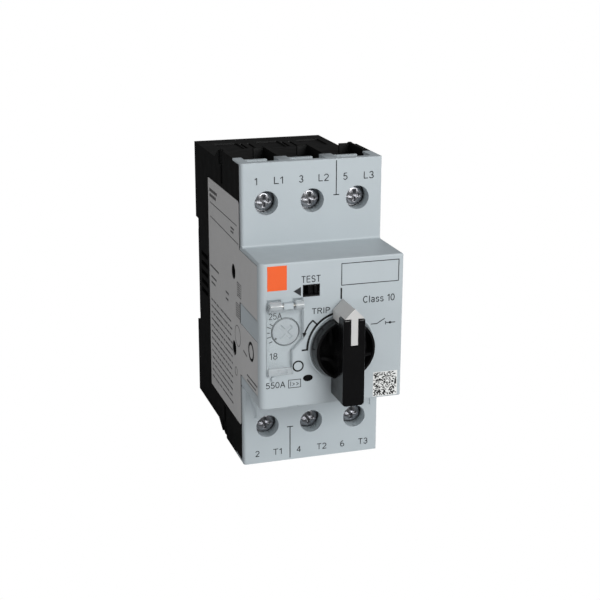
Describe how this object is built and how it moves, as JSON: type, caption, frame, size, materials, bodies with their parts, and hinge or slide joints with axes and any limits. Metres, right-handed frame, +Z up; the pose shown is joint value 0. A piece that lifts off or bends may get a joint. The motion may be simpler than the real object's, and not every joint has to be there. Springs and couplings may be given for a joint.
{
  "type": "motor protection breaker",
  "caption": "Rail-mounted motor protection breaker with a rotary handle, a current dial under a clear flap, and screw terminals at both ends.",
  "frame": {"origin": "centre of the flat face that rests against the front of the DIN rail's flanges", "axes": "+Z up towards the line terminals, -Y towards the front and the handle, +X to the right seen from the front"},
  "size_m": [0.045, 0.0937, 0.0978],
  "materials": {
    "housing_black": "fine matt moulded grain",
    "cover_grey": "satin moulded",
    "label_grey": "printed satin film",
    "handle_black": "semi-gloss moulded",
    "arrow_white": "satin moulded",
    "dial_grey": "satin moulded",
    "clear_plastic": "clear polished",
    "spring_steel": "drawn wire",
    "plated_steel": "zinc plated",
    "copper": "plain copper",
    "bimetal_strip": "rolled strip",
    "splitter_steel": "dull plated",
    "inner_plastic": "glass-filled moulding"
  },
  "bodies": {
    "housing": {"rear_housing": "housing_black", "phase_barrier_1": "housing_black", "phase_barrier_2": "housing_black", "line_chamber": "housing_black", "load_chamber": "housing_black", "front_cover": "cover_grey", "line_terminal_cover": "cover_grey", "load_terminal_cover": "cover_grey", "side_label_left": "label_grey", "side_label_right": "label_grey", "rail_clip_spring": "spring_steel", "toggle_spring": "spring_steel", "dial_cover_pin": "spring_steel", "mechanism_frame": "plated_steel", "line_busbar_1": "copper", "line_busbar_2": "copper", "line_busbar_3": "copper", "load_busbar_1": "copper", "load_busbar_2": "copper", "load_busbar_3": "copper", "magnet_coil_1": "copper", "magnet_coil_2": "copper", "magnet_coil_3": "copper", "bimetal_1": "bimetal_strip", "bimetal_2": "bimetal_strip", "bimetal_3": "bimetal_strip", "arc_chute_line_1": "splitter_steel", "arc_chute_line_2": "splitter_steel", "arc_chute_line_3": "splitter_steel", "arc_chute_load_1": "splitter_steel", "arc_chute_load_2": "splitter_steel", "arc_chute_load_3": "splitter_steel"},
    "handle": {"knob": "handle_black", "drive_shaft": "plated_steel"},
    "padlock_slide": {"padlock_slide": "arrow_white"},
    "contact_carrier": {"contact_carrier": "inner_plastic", "moving_contact_1": "copper", "moving_contact_2": "copper", "moving_contact_3": "copper"},
    "current_dial": {"current_dial": "dial_grey"},
    "dial_cover": {"dial_cover": "clear_plastic"},
    "test_slider": {"test_slider": "handle_black"},
    "rail_clip": {"rail_clip": "housing_black"},
    "trip_bar": {"trip_bar": "inner_plastic"},
    "terminal_screw_1": {"terminal_screw_1": "plated_steel"},
    "terminal_clamp_1": {"terminal_clamp_1": "plated_steel"},
    "terminal_screw_3": {"terminal_screw_3": "plated_steel"},
    "terminal_clamp_3": {"terminal_clamp_3": "plated_steel"},
    "terminal_screw_5": {"terminal_screw_5": "plated_steel"},
    "terminal_clamp_5": {"terminal_clamp_5": "plated_steel"},
    "terminal_screw_2": {"terminal_screw_2": "plated_steel"},
    "terminal_clamp_2": {"terminal_clamp_2": "plated_steel"},
    "terminal_screw_4": {"terminal_screw_4": "plated_steel"},
    "terminal_clamp_4": {"terminal_clamp_4": "plated_steel"},
    "terminal_screw_6": {"terminal_screw_6": "plated_steel"},
    "terminal_clamp_6": {"terminal_clamp_6": "plated_steel"}
  },
  "joints": [
    {"name": "knob_turn", "type": "hinge", "parent": "housing", "child": "handle", "pos_m": [0.0031, -0.085, -0.0046], "axis": [0, -1, 0], "range_deg": [0, 90], "deforming": ["toggle_spring"]},
    {"name": "contact_open", "type": "slide", "parent": "housing", "child": "contact_carrier", "axis": [0, -1, 0], "range_m": [0, 0.004]},
    {"name": "padlock_pull", "type": "slide", "parent": "handle", "child": "padlock_slide", "axis": [0, 0, 1], "range_m": [0, 0.006]},
    {"name": "dial_turn", "type": "hinge", "parent": "housing", "child": "current_dial", "pos_m": [-0.0143, -0.0781, 0.0013], "axis": [0, 1, 0], "range_deg": [0, 105]},
    {"name": "dial_cover_open", "type": "hinge", "parent": "housing", "child": "dial_cover", "pos_m": [-0.0147, -0.0804, 0.0101], "axis": [-1, 0, 0], "range_deg": [0, 115]},
    {"name": "test_push", "type": "slide", "parent": "housing", "child": "test_slider", "axis": [-1, 0, 0], "range_m": [0, 0.0015], "stiffness_N_per_m": 200, "springref_m": -0.0005},
    {"name": "trip_bar_swing", "type": "hinge", "parent": "housing", "child": "trip_bar", "pos_m": [0, -0.0444, -0.0205], "axis": [1, 0, 0], "range_deg": [0, 10], "stiffness_Nm_per_rad": 0.01, "springref_deg": -2.86},
    {"name": "rail_clip_pull", "type": "slide", "parent": "housing", "child": "rail_clip", "axis": [0, 0, -1], "range_m": [0, 0.004], "stiffness_N_per_m": 800, "springref_m": -0.002, "deforming": ["rail_clip_spring"]},
    {"name": "screw_1_turn", "type": "hinge", "parent": "housing", "child": "terminal_screw_1", "pos_m": [-0.01465, -0.0563, 0.0364], "axis": [0, 1, 0], "range_deg": [0, 1080]},
    {"name": "clamp_1_slide", "type": "slide", "parent": "housing", "child": "terminal_clamp_1", "axis": [0, 1, 0], "range_m": [0, 0.0021]},
    {"name": "screw_3_turn", "type": "hinge", "parent": "housing", "child": "terminal_screw_3", "pos_m": [0, -0.0563, 0.0364], "axis": [0, 1, 0], "range_deg": [0, 1080]},
    {"name": "clamp_3_slide", "type": "slide", "parent": "housing", "child": "terminal_clamp_3", "axis": [0, 1, 0], "range_m": [0, 0.0021]},
    {"name": "screw_5_turn", "type": "hinge", "parent": "housing", "child": "terminal_screw_5", "pos_m": [0.01465, -0.0563, 0.0364], "axis": [0, 1, 0], "range_deg": [0, 1080]},
    {"name": "clamp_5_slide", "type": "slide", "parent": "housing", "child": "terminal_clamp_5", "axis": [0, 1, 0], "range_m": [0, 0.0021]},
    {"name": "screw_2_turn", "type": "hinge", "parent": "housing", "child": "terminal_screw_2", "pos_m": [-0.01465, -0.0563, -0.0364], "axis": [0, 1, 0], "range_deg": [0, 1080]},
    {"name": "clamp_2_slide", "type": "slide", "parent": "housing", "child": "terminal_clamp_2", "axis": [0, 1, 0], "range_m": [0, 0.0021]},
    {"name": "screw_4_turn", "type": "hinge", "parent": "housing", "child": "terminal_screw_4", "pos_m": [0, -0.0563, -0.0364], "axis": [0, 1, 0], "range_deg": [0, 1080]},
    {"name": "clamp_4_slide", "type": "slide", "parent": "housing", "child": "terminal_clamp_4", "axis": [0, 1, 0], "range_m": [0, 0.0021]},
    {"name": "screw_6_turn", "type": "hinge", "parent": "housing", "child": "terminal_screw_6", "pos_m": [0.01465, -0.0563, -0.0364], "axis": [0, 1, 0], "range_deg": [0, 1080]},
    {"name": "clamp_6_slide", "type": "slide", "parent": "housing", "child": "terminal_clamp_6", "axis": [0, 1, 0], "range_m": [0, 0.0021]}
  ],
  "couplings": [
    {"joint": "contact_open", "follows": "knob_turn", "m_per_rad": 0.00254},
    {"joint": "screw_1_turn", "follows": "clamp_1_slide", "rad_per_m": 8975.8},
    {"joint": "screw_3_turn", "follows": "clamp_3_slide", "rad_per_m": 8975.8},
    {"joint": "screw_5_turn", "follows": "clamp_5_slide", "rad_per_m": 8975.8},
    {"joint": "screw_2_turn", "follows": "clamp_2_slide", "rad_per_m": 8975.8},
    {"joint": "screw_4_turn", "follows": "clamp_4_slide", "rad_per_m": 8975.8},
    {"joint": "screw_6_turn", "follows": "clamp_6_slide", "rad_per_m": 8975.8}
  ]
}
